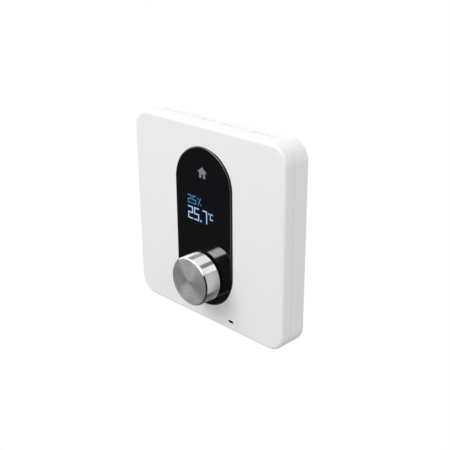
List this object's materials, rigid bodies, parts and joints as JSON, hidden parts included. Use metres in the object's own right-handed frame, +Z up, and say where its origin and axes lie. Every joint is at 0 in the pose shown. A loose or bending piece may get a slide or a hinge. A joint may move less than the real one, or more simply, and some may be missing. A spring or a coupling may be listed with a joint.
{
  "type": "wall thermostat",
  "caption": "Square surface-mounted room thermostat with a thin white casing, a black stadium-shaped lens over a small display, and a metal push-and-turn knob.",
  "frame": {"origin": "centre of the wall face, midway between the wall screws", "axes": "+Y into the wall (the face looks along -Y), +Z up, +X to the right for someone facing it"},
  "size_m": [0.086, 0.0232, 0.086],
  "materials": {
    "casing_white": "fine moulded texture",
    "plate_white": "moulded",
    "lens_black": "polished, printed black behind",
    "tape": "adhesive tape",
    "knob_aluminium": "spun brushed face, polished edge",
    "steel": "bright zinc",
    "brass": "plain",
    "tin": "tinned",
    "board_green": "solder mask",
    "chip_black": "moulded",
    "ferrite": "sintered",
    "ceramic": "ceramic",
    "black_plastic": "moulded",
    "panel_glass": "polished",
    "ribbon": "polyimide film",
    "socket_cream": "moulded",
    "terminal_green": "moulded",
    "collar_rubber": "moulded"
  },
  "bodies": {
    "wall_plate": {"wall_plate": "plate_white"},
    "unit": {"rear_casing": "casing_white", "front_cover": "casing_white", "display_lens": "lens_black", "lens_tape": "tape", "display_holder": "black_plastic", "display_panel": "panel_glass", "display_ribbon": "ribbon", "display_socket": "socket_cream", "main_board": "board_green", "board_screws": "steel", "casing_screws": "steel", "encoder_base": "black_plastic", "encoder_can": "steel", "encoder_bushing": "brass", "encoder_pins": "tin", "click_dome": "steel", "microcontroller": "chip_black", "voltage_regulator": "chip_black", "bus_transceiver": "chip_black", "power_inductor": "ferrite", "chip_capacitors": "ceramic", "chip_resistors": "chip_black", "terminal_block": "terminal_green", "terminal_screws": "steel", "terminal_clamps": "brass", "humidity_sensor": "chip_black", "sensor_collar": "collar_rubber"},
    "plunger": {"encoder_plunger": "black_plastic"},
    "knob": {"knob_shell": "knob_aluminium", "knob_core": "black_plastic", "knob_grip_clip": "steel", "encoder_shaft": "steel"},
    "rotor": {"encoder_rotor": "black_plastic", "encoder_wiper": "brass"}
  },
  "joints": [
    {"name": "unit_tilt", "type": "hinge", "parent": "wall_plate", "child": "unit", "pos_m": [0, -0.0009, 0.0425], "axis": [-1, 0, 0], "range_deg": [0, 15]},
    {"name": "knob_push", "type": "slide", "parent": "unit", "child": "plunger", "axis": [0, 1, 0], "range_m": [0, 0.0005], "stiffness_N_per_m": 500, "springref_m": -0.001, "deforming": ["click_dome"]},
    {"name": "knob_turn", "type": "hinge", "parent": "plunger", "child": "knob", "pos_m": [0, -0.0152, -0.0214], "axis": [0, 1, 0], "continuous": true},
    {"name": "rotor_turn", "type": "hinge", "parent": "unit", "child": "rotor", "pos_m": [0, -0.0101, -0.0214], "axis": [0, 1, 0], "continuous": true}
  ],
  "couplings": [
    {"joint": "rotor_turn", "follows": "knob_turn", "ratio": 1}
  ]
}
